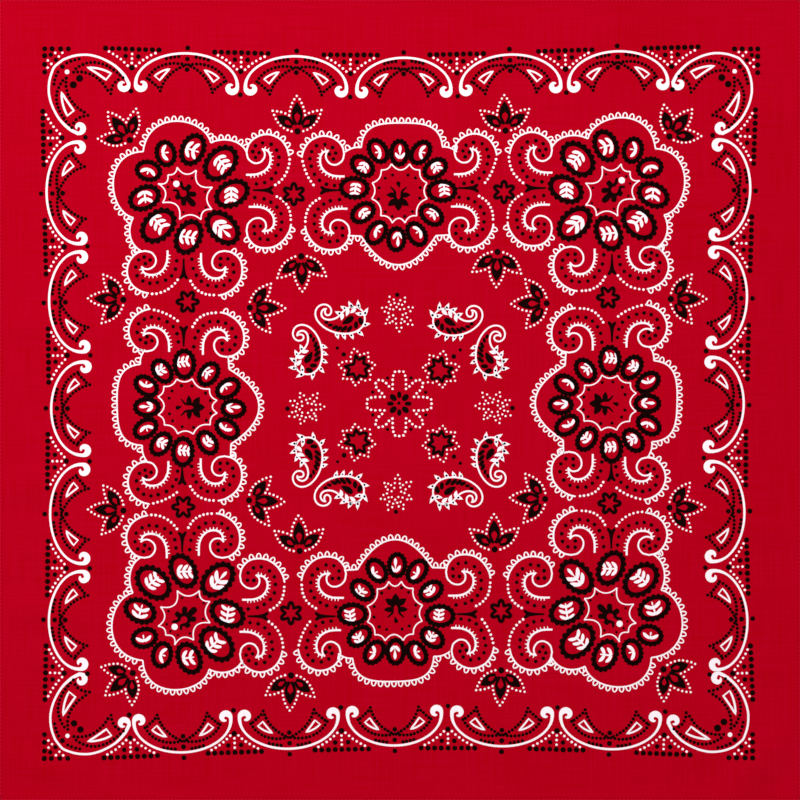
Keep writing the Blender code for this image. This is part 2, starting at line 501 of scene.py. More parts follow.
def finish_piece(obj, material, slot, *nodes):
    """Give a piece its finish and tie it to the frame."""
    obj.data.materials.clear()
    obj.data.materials.append(material)
    lay_flat_map(obj)
    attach(obj, BODY)
    if nodes:
        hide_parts(*nodes)
    return obj


# ================================================================ materials
def add_node(tree, kind, settings=None, links=None):
    """Add a node with its properties and socket values, and link its inputs."""
    node = tree.nodes.new(kind)
    for key, value in (settings or {}).items():
        if isinstance(key, str) and hasattr(node, key):
            setattr(node, key, value)
        else:
            node.inputs[key].default_value = value
    for key, source in (links or {}).items():
        tree.links.new(source, node.inputs[key])
    return node


def calculated(tree, operation, *inputs):
    """The result of a maths node whose inputs are numbers or other nodes' sockets."""
    sockets = {k: value for k, value in enumerate(inputs) if isinstance(value, bpy.types.NodeSocket)}
    numbers = {k: value for k, value in enumerate(inputs) if k not in sockets}
    return add_node(tree, "ShaderNodeMath", {"operation": operation, **numbers}, sockets).outputs[0]


def new_material(name):
    material = bpy.data.materials.new(name)
    material.use_nodes = True
    shader = material.node_tree.nodes["Principled BSDF"]
    return material, material.node_tree, shader


def set_inputs(shader, values):
    for key, value in values.items():
        shader.inputs[key].default_value = value


def add_relief(tree, shader, height, distance):
    relief = add_node(tree, "ShaderNodeBump", {"Strength": 1.0, "Distance": distance},
                      {"Height": height})
    tree.links.new(relief.outputs["Normal"], shader.inputs["Normal"])


def grained_colour(tree, shader, hex_colour, fineness, detail, darkest, palest):
    """Colour a shader with one colour that a fine grain darkens and lightens."""
    place = add_node(tree, "ShaderNodeTexCoord").outputs["Object"]
    grain = add_node(tree, "ShaderNodeTexNoise", {"Scale": fineness, "Detail": detail},
                     {"Vector": place}).outputs["Fac"]
    value = add_node(tree, "ShaderNodeMapRange", {"To Min": darkest, "To Max": palest},
                     {"Value": grain})
    tint = add_node(tree, "ShaderNodeVectorMath", {"operation": "SCALE",
                                                   0: linear(hex_colour)[:3]},
                    {"Scale": value.outputs["Result"]})
    tree.links.new(tint.outputs["Vector"], shader.inputs["Base Color"])
    return grain


def weave_height(tree):
    """Height of a plain weave: crosswise threads over and under lengthwise ones.

    The real threads are 0.42 mm apart, too fine to show, so they are drawn coarser.
    """
    spacing = bpy.context.scene.bandana_cloth.thread
    place = add_node(tree, "ShaderNodeTexCoord").outputs["Object"]
    scaled = add_node(tree, "ShaderNodeMapping", {"Scale": (1 / spacing, 1 / spacing, 0.0)},
                      {"Vector": place}).outputs["Vector"]
    parts = add_node(tree, "ShaderNodeSeparateXYZ", links={0: scaled})
    waves = []
    for axis in ("X", "Y"):
        turn = calculated(tree, "MULTIPLY", parts.outputs[axis], math.pi)
        waves.append(calculated(tree, "SINE", turn))
    # The product of the two waves is high on one set of crossings and low on the other.
    return calculated(tree, "MULTIPLY", *waves), place


def slub_streaks(tree, place, reach, fineness):
    """Uneven threads: noise drawn out along both ways of the weave, from -1 to 1."""
    streaks = []
    for scale in ((1 / reach, 1 / fineness, 1.0), (1 / fineness, 1 / reach, 1.0)):
        mapped = add_node(tree, "ShaderNodeMapping", {"Scale": scale}, {"Vector": place})
        grain = add_node(tree, "ShaderNodeTexNoise", {"Scale": 1.0, "Detail": 3.0,
                                                      "Roughness": 0.6},
                         {"Vector": mapped.outputs["Vector"]})
        streaks.append(grain.outputs["Fac"])
    return calculated(tree, "SUBTRACT", calculated(tree, "ADD", *streaks), 1.0)


def woven_finish(name, shades, contrast, drift, bump, sheen, sheen_tint):
    """A matt woven surface whose threads vary between two shades of its colour."""
    material, tree, shader = new_material(name)
    weave, place = weave_height(tree)
    slubs = slub_streaks(tree, place, 45 * MM, 1.1 * MM)
    patches = add_node(tree, "ShaderNodeTexNoise", {"Scale": 1 / (70 * MM), "Detail": 2.0},
                       {"Vector": place})
    centred = calculated(tree, "SUBTRACT", patches.outputs["Fac"], 0.5)
    drifted = calculated(tree, "MULTIPLY", centred, drift)
    streaked = calculated(tree, "MULTIPLY_ADD", slubs, contrast, drifted)
    shaded = calculated(tree, "MULTIPLY_ADD", weave, contrast * 0.5, streaked)
    share = calculated(tree, "ADD", shaded, 0.5)
    # In a colour mix the two colours are sockets 6 and 7, and the mixed one is output 2.
    tint = add_node(tree, "ShaderNodeMix", {"data_type": "RGBA", 6: linear(shades[0]),
                                            7: linear(shades[1])}, {0: share})
    tree.links.new(tint.outputs[2], shader.inputs["Base Color"])
    add_relief(tree, shader, calculated(tree, "MULTIPLY_ADD", slubs, 0.8, weave), bump)
    set_inputs(shader, {"Roughness": 0.9, "IOR": 1.5, "Specular IOR Level": 0.06,
                        "Specular Tint": sheen_tint, "Sheen Weight": sheen,
                        "Sheen Roughness": 0.6, "Sheen Tint": sheen_tint})
    return material


def cached(name, maker):
    """The material of this name, made the first time that it is asked for."""
    return bpy.data.materials.get(name) or maker(name)


def dyed_cotton():
    """Piece-dyed plain-weave cotton: a deep matt red with a faint thread texture."""
    cloth = bpy.context.scene.bandana_cloth
    return cached("dyed_plain_weave_cotton", lambda name: woven_finish(
        name, (cloth.deep_red, cloth.bright_red), 1.0, 0.35, 0.05 * MM, 0.04,
        (1.0, 0.02, 0.08, 1.0)))


def white_ink():
    """White pigment ink screened on cotton: chalky, with the weave just showing through."""
    ink = bpy.context.scene.bandana_print
    return cached("white_pigment_ink", lambda name: woven_finish(
        name, (ink.thin_white, ink.full_white), 0.8, 0.3, 0.02 * MM, 0.0, (1.0, 1.0, 1.0, 1.0)))


def black_ink():
    """Black pigment ink screened on red cotton: warm, matt and nearly opaque."""
    ink = bpy.context.scene.bandana_print
    return cached("black_pigment_ink", lambda name: woven_finish(
        name, (ink.full_black, ink.thin_black), 0.8, 0.3, 0.02 * MM, 0.0, (1.0, 0.6, 0.6, 1.0)))


def sewing_thread():
    """Spun polyester thread: smoother and paler than the cloth, with fine twisted plies."""
    stitching = bpy.context.scene.bandana_stitching

    def make(name):
        material, tree, shader = new_material(name)
        grain = grained_colour(tree, shader, stitching.pink, 1 / (0.5 * MM), 2.0, 0.8, 1.15)
        add_relief(tree, shader, grain, 0.03 * MM)
        set_inputs(shader, {"Roughness": 0.65, "Specular IOR Level": 0.2})
        return material
    return cached("spun_polyester_thread", make)


def pale_floor():
    """Honed pale plaster: even, matt and slightly warm."""
    stage = bpy.context.scene.bandana_stage

    def make(name):
        material, tree, shader = new_material(name)
        grained_colour(tree, shader, stage.floor, 9.0, 4.0, 0.97, 1.03)
        set_inputs(shader, {"Roughness": 0.7})
        return material
    return cached("honed_plaster_floor", make)


# ================================================================ paths, in millimetres
def point(at):
    return complex(*at) if isinstance(at, tuple) else complex(at)


def bezier(*controls, steps=12):
    """A Bezier curve of any degree through its first and last control."""
    controls = [point(c) for c in controls]
    path = []
    for i in range(steps + 1):
        level = controls
        while len(level) > 1:
            level = [a + (b - a) * i / steps for a, b in zip(level, level[1:])]
        path.append(level[0])
    return path


def arc(centre, radius, start, end, steps=12, flat=1.0):
    """Part of a circle, or of an ellipse whose height is flat times its width."""
    turns = [math.radians(start + (end - start) * i / steps) for i in range(steps + 1)]
    return [point(centre) + complex(radius * math.cos(t), radius * flat * math.sin(t))
            for t in turns]


def chained(*paths):
    """Paths joined end to end."""
    whole = list(paths[0])
    for path in paths[1:]:
        whole += path[1:]
    return whole


def smooth(*through, steps=6):
    """A curve through a few chosen points."""
    knots = [point(p) for p in through]
    ends = [2 * knots[0] - knots[1], 2 * knots[-1] - knots[-2]]
    padded = [ends[0]] + knots + [ends[1]]
    path = [knots[0]]
    for a, b, c, d in zip(padded, padded[1:], padded[2:], padded[3:]):
        for i in range(1, steps + 1):
            t = i / steps
            path.append(0.5 * (2 * b + (c - a) * t + (2 * a - 5 * b + 4 * c - d) * t ** 2
                               + (3 * b - a - 3 * c + d) * t ** 3))
    return path


def straight(start, end, steps):
    start, end = point(start), point(end)
    return [start + (end - start) * i / steps for i in range(steps + 1)]


def path_length(path):
    return sum(abs(b - a) for a, b in zip(path, path[1:]))


def spaced(path, count):
    """Evenly spaced places along a path, both ends among them, with the way it runs there."""
    total = path_length(path)
    places = []
    walked = 0.0
    index = 0
    for k in range(count):
        target = total * k / (count - 1) if count > 1 else total / 2
        while index < len(path) - 2 and walked + abs(path[index + 1] - path[index]) < target:
            walked += abs(path[index + 1] - path[index])
            index += 1
        step = path[index + 1] - path[index]
        share = (target - walked) / abs(step) if step else 0.0
        places.append((path[index] + step * share, step / abs(step) if step else 1.0))
    return places


def mirrored(path):
    return [complex(-p.real, p.imag) for p in path]


def tapered(width, count, start=0.0, end=0.0, fullest=0.5):
    """Widths along a stroke that swells from its start to its fullest place and back."""
    widths = []
    for i in range(count):
        t = i / (count - 1)
        if t < fullest:
            widths.append(start + (width - start) * math.sin(math.pi / 2 * t / fullest))
        else:
            fall = (1 - t) / (1 - fullest) if fullest < 1 else 1.0
            widths.append(end + (width - end) * math.sin(math.pi / 2 * fall))
    return widths


# ================================================================ drawing
class Ink:
    """All that is drawn in one ink: dots, and strokes whose width can vary."""

    def __init__(self, name):
        self.name = name
        self.dots = []
        self.strokes = []


class Pen:
    """Draws in a motif's own frame and keeps what it draws in the cloth's frame."""

    def __init__(self, inks, x=0.0, y=0.0, turn=0.0, mirror=False, stretch=1.0, parent=None):
        self.inks = inks
        self.origin = complex(x, y)
        self.turn = cmath.rect(1.0, math.radians(turn))
        self.mirror = mirror
        self.stretch = stretch
        self.parent = parent

    def at(self, x, y, turn=0.0, mirror=False, stretch=1.0):
        return Pen(self.inks, x, y, turn, mirror, stretch, self)

    def on_cloth(self, place):
        place = point(place)
        across = -place.real if self.mirror else place.real
        moved = self.origin + complex(across * self.stretch, place.imag) * self.turn
        return self.parent.on_cloth(moved) if self.parent else moved

    def dot(self, ink, place, radius):
        self.inks[ink].dots.append((self.on_cloth(place), radius))

    def dots(self, ink, path, count, radius):
        for place, way in spaced(path, count):
            self.dot(ink, place, radius)

    def stroke(self, ink, path, width, closed=False):
        widths = width if isinstance(width, list) else [width] * len(path)
        self.inks[ink].strokes.append(([self.on_cloth(p) for p in path], widths, closed))

    def leaf(self, ink, path, width, fullest=0.45):
        self.stroke(ink, path, tapered(width, len(path), 0.15, 0.15, fullest))


def repeat(pen, motif, table):
    """Draw a motif at each place of a table."""
    for row in rows(PLACE_COLUMNS, table):
        motif(pen.at(row["x"], row["y"], row["turn"], row["mirror"]))


# ================================================================ motifs
SMALL_DOT = 0.95
STAR_DOT = 0.95
FINE_DOT = 1.1
SPRIG_DOT = 1.02
# Shares of the full width along a blunt leaf and along a club-shaped petal, from the root.
LEAF_SHAPE = (0.9, 0.9, 0.93, 0.96, 1.0, 1.02, 1.02, 0.98, 0.88, 0.68, 0.3)
CLUB_SHAPE = (0.85, 0.85, 0.87, 0.9, 0.94, 0.98, 1.0, 1.0, 0.94, 0.78, 0.35)


def junction(pen):
    """Where two scallops meet: a row of black dots over a V of white ones."""
    for k in range(-4, 5):
        pen.dot(BLACK, (k * 4.6, 0.2), 1.6)
    for side in (-1, 1):
        pen.dot(BLACK, (side * 4.4, -4.7), 1.4)
        arm = bezier((side * 16.0, -2.0), (side * 8.3, -5.7), (side * 2.8, -11.3))
        pen.dots(WHITE, arm, 6, FINE_DOT)
    pen.dots(WHITE, [0 - 3.1j, 0 - 9.4j], 3, FINE_DOT)
    pen.dot(BLACK, (0, -12.7), 1.65)
    pen.dot(BLACK, (0, -28.7), 1.45)


def curled(path, eye):
    """Lengthen a path by a fat curl round an eye on its right: the places and the widths."""
    eye = point(eye)
    hook, widths = [], []
    start = cmath.phase(path[-1] - eye)
    near = abs(path[-1] - eye)
    for i in range(1, 23):
        t = i / 22
        # The curl's inner side closes on the eye while its outer side swells and shrinks.
        inner = 0.8 + (near - 1.95) * max(0.0, 1 - t / 0.3) ** 2
        outer = near + 1.15 + 0.6 * math.sin(math.pi * min(1.0, t / 0.62))
        if t > 0.62:
            outer -= (t - 0.62) / 0.38 * 2.8
        hook.append(eye + cmath.rect((inner + outer) / 2, start - math.radians(300) * t))
        widths.append(max(outer - inner, 0.7))
    grow = [2.0 + 1.0 * max(0.0, (i / len(path) - 0.7) / 0.3) for i in range(len(path))]
    return path + hook, grow + widths


def outlined_leaf(pen, tip, upper, lower, bulge, width):
    """A white three-cornered leaf in outline, its outer side curved."""
    tip, upper, lower = point(tip), point(upper), point(lower)
    outer = bezier(upper, (upper + tip) / 2 + point(bulge), tip, steps=8)
    inner = bezier(tip, (tip + lower) / 2 + point(bulge) * 0.2, lower, steps=8)
    pen.stroke(WHITE, chained(outer, inner, [lower, upper]), width, closed=True)


def dotted_crescent(pen, outer, end, inner):
    """A crescent leaf drawn in small black dots."""
    for path in (outer, end, inner):
        pen.dots(BLACK, path, max(2, round(path_length(path) / 2.75)) + 1, SMALL_DOT)


def scallop(pen):
    """One arch of the border, with its two curls, crescents and leaves."""
    half_width, rise, foot = 34.8, 21.4, -22.4
    def arch(x, inset=0.0):
        share = max(0.0, 1 - (x / half_width) ** 2)
        return complex(x, foot + rise * math.sqrt(share) - inset)
    half = [arch(half_width * math.sin(math.radians(90 * i / 20))) for i in range(21)]
    right, widths = curled(half, (31.2, -23.4))
    pen.stroke(WHITE, mirrored(right[:0:-1]) + right, widths[:0:-1] + widths)
    for side in (-1, 1):
        arm = pen.at(0, 0, 0, side > 0)
        for k in range(4):
            arm.dot(BLACK, arch(-6.0 - 2.75 * k, 2.1), 1.0)
        dotted_crescent(arm, bezier((-27.0, -19.0), (-20.4, -7.0), (-8.0, -7.4), (-1.0, -8.8)),
                        [complex(-25.4, -19.9), complex(-19.4, -25.0)],
                        bezier((-17.9, -27.4), (-14.6, -15.4), (-2.6, -9.8)))
        outlined_leaf(arm, (-11.9, -12.1), (-22.0, -17.2), (-18.4, -20.1), (-0.6, 1.5), 1.7)
    for depth in (2.7, -4.9, -12.1):
        pen.dot(BLACK, (0, depth), 1.5)


def border_corner(pen):
    """The corner of the border, the same on both sides of its diagonal."""
    for far in (0.7, 5.8, 11.7, 17.0):
        pen.dot(BLACK, (far, -0.1), 1.6)
        if far > 1:
            pen.dot(BLACK, (0.7, 0.9 - far), 1.6)
    for far in (4.5, 8.0):
        pen.dot(BLACK, (far + 0.4, 0.3 - far), 1.3)
    pen.dot(WHITE, (16.1, -16.0), 1.8)
    pen.dot(BLACK, (12.9, -12.4), 1.5)
    # One sweep with a curl at each end: its upright half is the flat one turned over.
    def upright(path):
        return [complex(-p.imag - 0.6, 0.3 - p.real) for p in path]
    knots = [point(knot) for knot in (
        (12.6, -8.2), (15.2, -6.8), (20.6, -5.0), (26.4, -4.2), (32.6, -4.5), (40.3, -6.8),
        (48.9, -11.6), (55.3, -18.1), (58.6, -24.2))]
    sweep = smooth(*upright(knots)[::-1], *knots, steps=6)
    start = 6 * len(knots)
    flat, widths = curled(sweep[start:], (55.2, -24.8))
    bend = sweep[start - 5:start]
    pen.stroke(WHITE, upright(flat)[::-1] + bend + flat,
               widths[::-1] + [widths[0]] * len(bend) + widths)
    for flip in (False, True):
        half = pen.at(0, 0, 90 if flip else 0, flip)
        for place in ((8.1, -2.9), (13.0, -2.8), (10.4, -5.3)):
            half.dot(WHITE, place, 1.1)
        half.dots(BLACK, bezier((24.4, -7.1), (20.4, -7.6), (16.0, -9.8)), 4, 0.95)
        half.dot(BLACK, (24.8, -20.4), 2.2)
        # The leaves and the curl of the upright half sit a little lower and further out.
        half = half.at(-0.3, 0.6) if flip else half
        dotted_crescent(half, bezier((22.2, -13.8), (37.0, -2.6), (54.6, -20.0)),
                        bezier((51.4, -21.2), (46.8, -24.0), (46.2, -31.0)),
                        bezier((44.0, -28.6), (35.5, -14.2), (20.6, -16.2)))
        outlined_leaf(half, (30.2, -12.9), (46.4, -17.0), (42.9, -21.4), (1.2, 2.0), 1.9)


def tear_petal(pen, base, tip, half_width, hole, hole_half):
    """A black petal, pointed at its tip, with a drop left open that tapers to its base."""
    base, tip = point(base), point(tip)
    axis = tip - base
    reach = abs(axis)
    count = 24
    for side in (-1, 1):
        path, widths = [], []
        for i in range(count + 1):
            t = i / count
            outer = half_width * math.sin(math.pi * (0.12 + 0.88 * t)) if t < 1 else 0.0
            share = t * reach / hole
            inner = hole_half * math.sin(math.pi * share ** 1.5) ** 0.8 if 0 < share < 1 else 0.0
            path.append(base + axis * t + 1j * side * axis / reach * (outer + inner) / 2)
            widths.append(max(outer - inner, 0.02) + 0.1)
        pen.stroke(BLACK, path, widths)


def sprig(pen):
    """Three black petals in a frame of white dots, over one black dot."""
    pen.dot(BLACK, (0, 0.2), 2.0)
    tear_petal(pen, (0, 4.6), (0, 20.1), 3.65, 9.2, 2.25)
    pen.dot(WHITE, (0, 24.5), SPRIG_DOT)
    for side in (-1, 1):
        half = pen.at(0, 0, 0, side < 0)
        tear_petal(half, (3.2, 3.9), (13.4, 11.0), 3.35, 7.2, 1.7)
        half.dots(WHITE, bezier((1.8, 22.2), (4.9, 17.2), (5.5, 11.3)), 5, SPRIG_DOT)
        half.dots(WHITE, bezier((8.1, 12.6), (12.2, 14.3), (16.7, 14.5)), 4, SPRIG_DOT)
        half.dots(WHITE, bezier((15.9, 11.7), (12.6, 2.3), (4.0, 0.3)), 7, SPRIG_DOT)


def picots(pen, path, count):
    """Small arched loops along the left side of a line, as on lace, clear of both its ends."""
    turns = [math.pi * i / 10 for i in range(11)]
    for place, way in spaced(path, 2 * count + 1)[1::2]:
        loop = [place + way * complex(1.5 * math.cos(t), 0.2 + 3.25 * math.sin(t) ** 0.8)
                for t in turns]
        pen.stroke(WHITE, loop, [1.6 - 0.3 * math.sin(t) for t in turns])


def serrated_ring(pen, along, across):
    """A black ring round a medallion petal: smooth inside, cut like a seal outside."""
    teeth = 17
    path, widths = [], []
    band, tooth = 1.5 + 0.075 * along, 0.8 + 0.09 * along
    for i in range(teeth * 6):
        turn = math.tau * i / (teeth * 6)
        width = band + tooth * (0.0, 0.2, 0.6, 1.0, 0.6, 0.2)[i % 6]
        out = complex(math.cos(turn) / along, math.sin(turn) / across)
        out /= abs(out)
        path.append(complex(along * math.cos(turn), across * math.sin(turn)) + out * width / 2)
        widths.append(width)
    pen.stroke(BLACK, path, widths, closed=True)


def leaf_spray(pen, pairs, step, reach, spread, bar):
    """White leaves in pairs, swept back along a stem that runs down from its apex."""
    sweep = cmath.rect(reach, math.radians(spread - 90))
    fat = 1.05 + 0.25 * reach
    leaf = [fat * w for w in LEAF_SHAPE]
    for k in range(pairs):
        top = complex(0, -k * step)
        for side in (-1, 1):
            tip = top + complex(side * sweep.real, sweep.imag)
            shoulder = top + complex(side * sweep.real * 0.57, sweep.imag * 0.38)
            pen.stroke(WHITE, bezier(top + complex(side * 0.2, -0.5 * fat), shoulder, tip,
                                     steps=10), leaf)
    foot = -(pairs - 1) * step
    pen.stroke(WHITE, [complex(0, -0.8), complex(0, foot - 1.6)], 1.7)
    if bar:
        end = 2.6 if bar > 6 else 1.5
        pen.stroke(WHITE, [complex(0, foot - 1.0 - bar * t / 6) for t in range(7)],
                   [1.0, 1.0, 1.1, 0.75 * end, end, end, 0.4 * end])


def medallion_petals(axis, table):
    """Place, size and tilt of the petals, clockwise: those of the table, then their twins."""
    plan = rows(PETAL_COLUMNS, table)
    twins = [petal for petal in reversed(plan) if petal["round"] % 180]
    for side, petals in ((-1, plan), (1, twins)):
        for petal in petals:
            outwards = axis + side * petal["round"]
            yield (cmath.rect(petal["reach"], math.radians(outwards)), petal["long"],
                   petal["short"], outwards + side * petal["slant"])


def medallion_heart(pen, axis, petals, sprays):
    """Serrated petals, each with its spray, round a frame of hollow arcs."""
    for place, long, short, tilt in medallion_petals(axis, petals):
        serrated_ring(pen.at(place.real, place.imag, tilt), long, short)
    table = rows(SPRAY_COLUMNS, sprays)
    frames = [complex(s["frame_x"], s["frame_y"]) for s in table]
    for k, spray in enumerate(table):
        leaf_spray(pen.at(spray["apex_x"], spray["apex_y"], spray["stem"] + 90), spray["pairs"],
                   spray["step"], spray["reach"], spray["spread"], spray["bar"])
        start, end = frames[k - 1], frames[k]
        across = (end - start) * 1j
        if (across * start.conjugate()).real > 0:
            across = -across
        hollow = (start + end) / 2 + across * 2 * spray["bow"]
        pen.stroke(WHITE, bezier(start, hollow, end, steps=12), 1.35)


def corner_medallion(pen):
    medallion_heart(pen, CORNER_AXIS, CORNER_PETALS, CORNER_SPRAYS)
    for place in CORNER_FRAME_DOTS:
        pen.dot(BLACK, place, 0.65)
    pen.dot(WHITE, (-6.8, 5.1), 2.45)
    # A black flower of club-shaped petals and two tendrils round an open eye.
    eye = complex(-2.0, -1.5)
    pen.stroke(BLACK, arc(eye, 3.5, -190, 105, 18), 1.9)
    for tip, width in (((3.0, 4.3), 3.2), ((7.0, -2.2), 3.3), ((6.0, -10.0), 3.9),
                       ((-1.6, -9.9), 3.3), ((-7.3, -4.8), 3.2)):
        tip = point(tip)
        start = eye + (tip - eye) / abs(tip - eye) * 2.8
        pen.stroke(BLACK, straight(start, tip, 10), [width * w for w in CLUB_SHAPE])
    pen.stroke(BLACK, smooth((-2.0, 2.0), (-3.0, 3.6), (-3.4, 6.9)), tapered(1.9, 13, 0.8, 0.7))
    pen.stroke(BLACK, smooth((-5.3, -1.0), (-6.2, 0.5), (-9.3, 0.7)), tapered(1.5, 13, 0.9, 0.7))
    # The lace: two large lobes on the outer side, then a small one each way.
    lobes = (
        (((41.5, 27.0), (37.5, 35.5), (25.5, 37.5), (17.0, 33.3)), 6),
        (((17.0, 33.3), (12.5, 51.5), (-26.0, 57.0), (-29.6, 27.3)), 13),
        (((-29.6, 27.3), (-57.8, 26.8), (-54.0, -14.0), (-36.4, -18.2)), 13),
        (((-36.4, -18.2), (-41.0, -26.4), (-39.0, -37.0), (-30.6, -41.2)), 6),
    )
    for lobe, loops in lobes:
        path = bezier(*lobe, steps=28)
        pen.stroke(WHITE, path, 1.5)
        picots(pen, path[-2:0:-1], loops)


def side_medallion(pen):
    medallion_heart(pen, SIDE_AXIS, SIDE_PETALS, SIDE_SPRAYS)
    for place in SIDE_FRAME_DOTS:
        pen.dot(BLACK, place, 0.9)
    # A black flower with five pointed petals and two tendrils, open at the top.
    pen.stroke(BLACK, smooth((-5.2, 6.6), (-2.2, 3.4), (-1.9, -1.0), (0.4, -3.6),
                             (2.7, -1.0), (3.0, 3.4), (6.3, 6.4)),
               tapered(2.1, 37, 0.35, 0.35))
    for start, tip, width in (((2.4, 0.8), (8.5, 1.1), 3.3), ((1.5, -2.4), (7.4, -6.3), 4.2),
                              ((0.4, -2.8), (0.4, -9.9), 5.0),
                              ((-0.9, -2.4), (-6.8, -6.3), 4.2), ((-1.6, 0.8), (-7.7, 1.1), 3.3)):
        pen.leaf(BLACK, straight(start, tip, 8), width, 0.38)
    pen.stroke(BLACK, bezier((0.1, 10.2), (0.4, 8.2), (1.2, 6.2), steps=6),
               [0.9, 2.2, 2.4, 2.0, 1.2, 0.8, 0.4])
    # The lace: a broad flat lobe outside, a round one inside, and short runs to the scrolls.
    outer = chained(bezier((30.7, 34.0), (29.4, 50.4), (16.0, 50.4), (2.6, 50.5), steps=16),
                    bezier((2.6, 50.5), (-11.0, 50.4), (-24.0, 50.4), (-25.2, 33.6), steps=16))
    inner = chained(bezier((-25.2, -27.4), (-18.6, -37.8), (-10.3, -47.1), (0.3, -47.1), steps=14),
                    bezier((0.3, -47.1), (10.9, -47.1), (19.4, -37.8), (26.3, -27.0), steps=14))
    for path, loops in ((outer, 15), (inner, 14)):
        pen.stroke(WHITE, path, 1.5)
        picots(pen, path[-2:0:-1], loops)
    runs = (((40.6, 30.5), (36.0, 34.4), (30.7, 34.0)), ((-25.2, 33.6), (-31.0, 34.4), (-36.3, 30.5)),
            ((-34.5, -27.0), (-30.0, -27.2), (-25.2, -27.4)),
            ((26.3, -27.0), (31.0, -26.8), (35.4, -26.5)))
    for run in runs:
        path = bezier(*run, steps=8)
        pen.stroke(WHITE, path, 1.5)
        picots(pen, path[::-1], 2)


def comb(pen, path, count, reach):
    """Short teeth on the left of a white line."""
    for place, way in spaced(path, count):
        pen.stroke(WHITE, [place, place + way * 1j * reach * 0.6, place + way * 1j * reach],
                   [1.6, 1.15, 0.85])


def scroll(pen, kind, far, lean, level):
    """One C-scroll round its curl: lace, a hook, a comb, and two rows of dots."""
    shape = SCROLL_KINDS[kind]
    lace = smooth(*shape["lace"])
    pen.stroke(WHITE, chained(lace, smooth(*shape["hook"])), 1.65)
    first, last = (point(end) for end in shape["loop_ends"])
    looped = [p for p in lace if p.imag > first.imag or p.real < 0]
    looped = [first] + [p for p in looped if p.imag > last.imag or p.real > 0] + [last]
    picots(pen, looped[::-1], shape["loops"])
    spine = smooth(*shape["comb"])
    comb(pen, spine, shape["teeth"], 2.25)
    foot = spine[-1]
    pen.stroke(WHITE, spine + [complex(shape["comb_end"], foot.imag)], 1.85)
    count, *knots = shape["beads"][far]
    pen.dots(WHITE, bezier(*knots), count, 1.15)
    for x, y in shape["dots"]:
        pen.dot(BLACK, (x + lean * (y - level), y), 1.1)


def gap_flower(pen):
    """A six-petalled flower in black outline."""
    path, widths = [], []
    steps = 72
    for i in range(steps):
        turn = math.tau * i / steps
        lobe = 0.5 + 0.5 * math.cos(6 * turn)
        path.append(cmath.rect(3.6 + 3.7 * lobe ** 0.8, turn + math.pi / 2))
        widths.append(1.45 + 0.6 * lobe)
    pen.stroke(BLACK, path, widths, closed=True)


def scroll_group(pen, curl_x, curl_y, corner):
    """Four C-scrolls that face each other two by two, with a fork between each two."""
    for side in (-1, 1):
        half = pen.at(0, 0, 0, side > 0)
        far = 0 if side == corner else 1
        for kind, up in (("outer", 1), ("inner", -1)):
            shift = rows(SHIFT_COLUMNS, SCROLL_SHIFTS[kind])[far]
            place = half.at(shift["towards"] - curl_x, up * (curl_y + shift["outwards"]),
                            90 - 90 * up, up < 0)
            scroll(place, kind, far, shift["lean"], shift["level"])
        half.stroke(BLACK, [complex(x, 1.2) for x in (-30.2, -27.0, -23.0, -20.5, -18.6)],
                    [0.8, 1.0, 1.6, 2.5, 3.5])
        for tip in ((-16.4, 3.8), (-16.1, -1.4)):
            root = complex(-19.6, 1.2)
            half.stroke(BLACK, [root, (root + point(tip)) / 2, point(tip)], [2.4, 2.0, 1.1])


def centre_star(pen):
    """A zigzag in black inside a star of white dots, with two black dots beyond."""
    for side in (-1, 1):
        half = pen.at(0, 0, 0, side < 0)
        half.dots(WHITE, bezier((2.1, 8.1), (4.6, 10.2), (7.5, 10.2)), 3, STAR_DOT)
        for place in ((8.0, 7.4), (7.5, 4.5), (10.0, 3.0), (12.4, 1.5), (10.5, -0.7), (8.7, -2.9),
                      (9.4, -5.2), (9.7, -7.7), (6.7, -8.0), (3.9, -7.7), (2.7, -10.3)):
            half.dot(WHITE, place, STAR_DOT)
    for y in (6.0, -12.3):
        pen.dot(WHITE, (0, y), STAR_DOT)
    corners = ((0, 3.1), (5.4, 6.5), (4.5, 2.8), (8.8, 1.2), (4.9, -1.3), (6.7, -5.6), (2.7, -4.9),
               (1.7, -7.4), (0, -9.0))
    right = [point(corner) for corner in corners]
    outline = right + mirrored(right[-2:0:-1])
    detailed = []
    for a, b in zip(outline, outline[1:] + outline[:1]):
        detailed += [a, a + (b - a) * 0.12, a + (b - a) * 0.88]
    pen.stroke(BLACK, detailed, 1.6, closed=True)
    pen.dot(BLACK, (0, 12.7), 1.4)
    pen.dot(BLACK, (0, 19.0), 0.95)


def dotted_flower(pen):
    """Seven points and an inner ring, all in white dots."""
    def bead(turn, reach):
        pen.dot(WHITE, cmath.rect(reach, math.radians(turn)), STAR_DOT)
    for row in rows(POINT_COLUMNS, FLOWER_POINTS):
        bead(row["turn"], row["reach"])
        for side in (-1, 1):
            bead((row["turn"] * 2 + row["foot_turn"]) / 3 + side * 9.8, row["reach"] * 0.79)
            bead(row["foot_turn"] + side * row["half"], row["foot"])
        bead(row["inner_turn"], row["inner"])
    pen.dot(BLACK, (-0.4, 13.3), 1.35)


def drop(pen, ink, start, end, width):
    """A round-ended drop, fattest in its middle."""
    start, end = point(start), point(end)
    turns = [math.pi * i / 12 for i in range(13)]
    pen.stroke(ink, [start + (end - start) * (1 - math.cos(t)) / 2 for t in turns],
               [max(width * math.sin(t), 0.1) for t in turns])


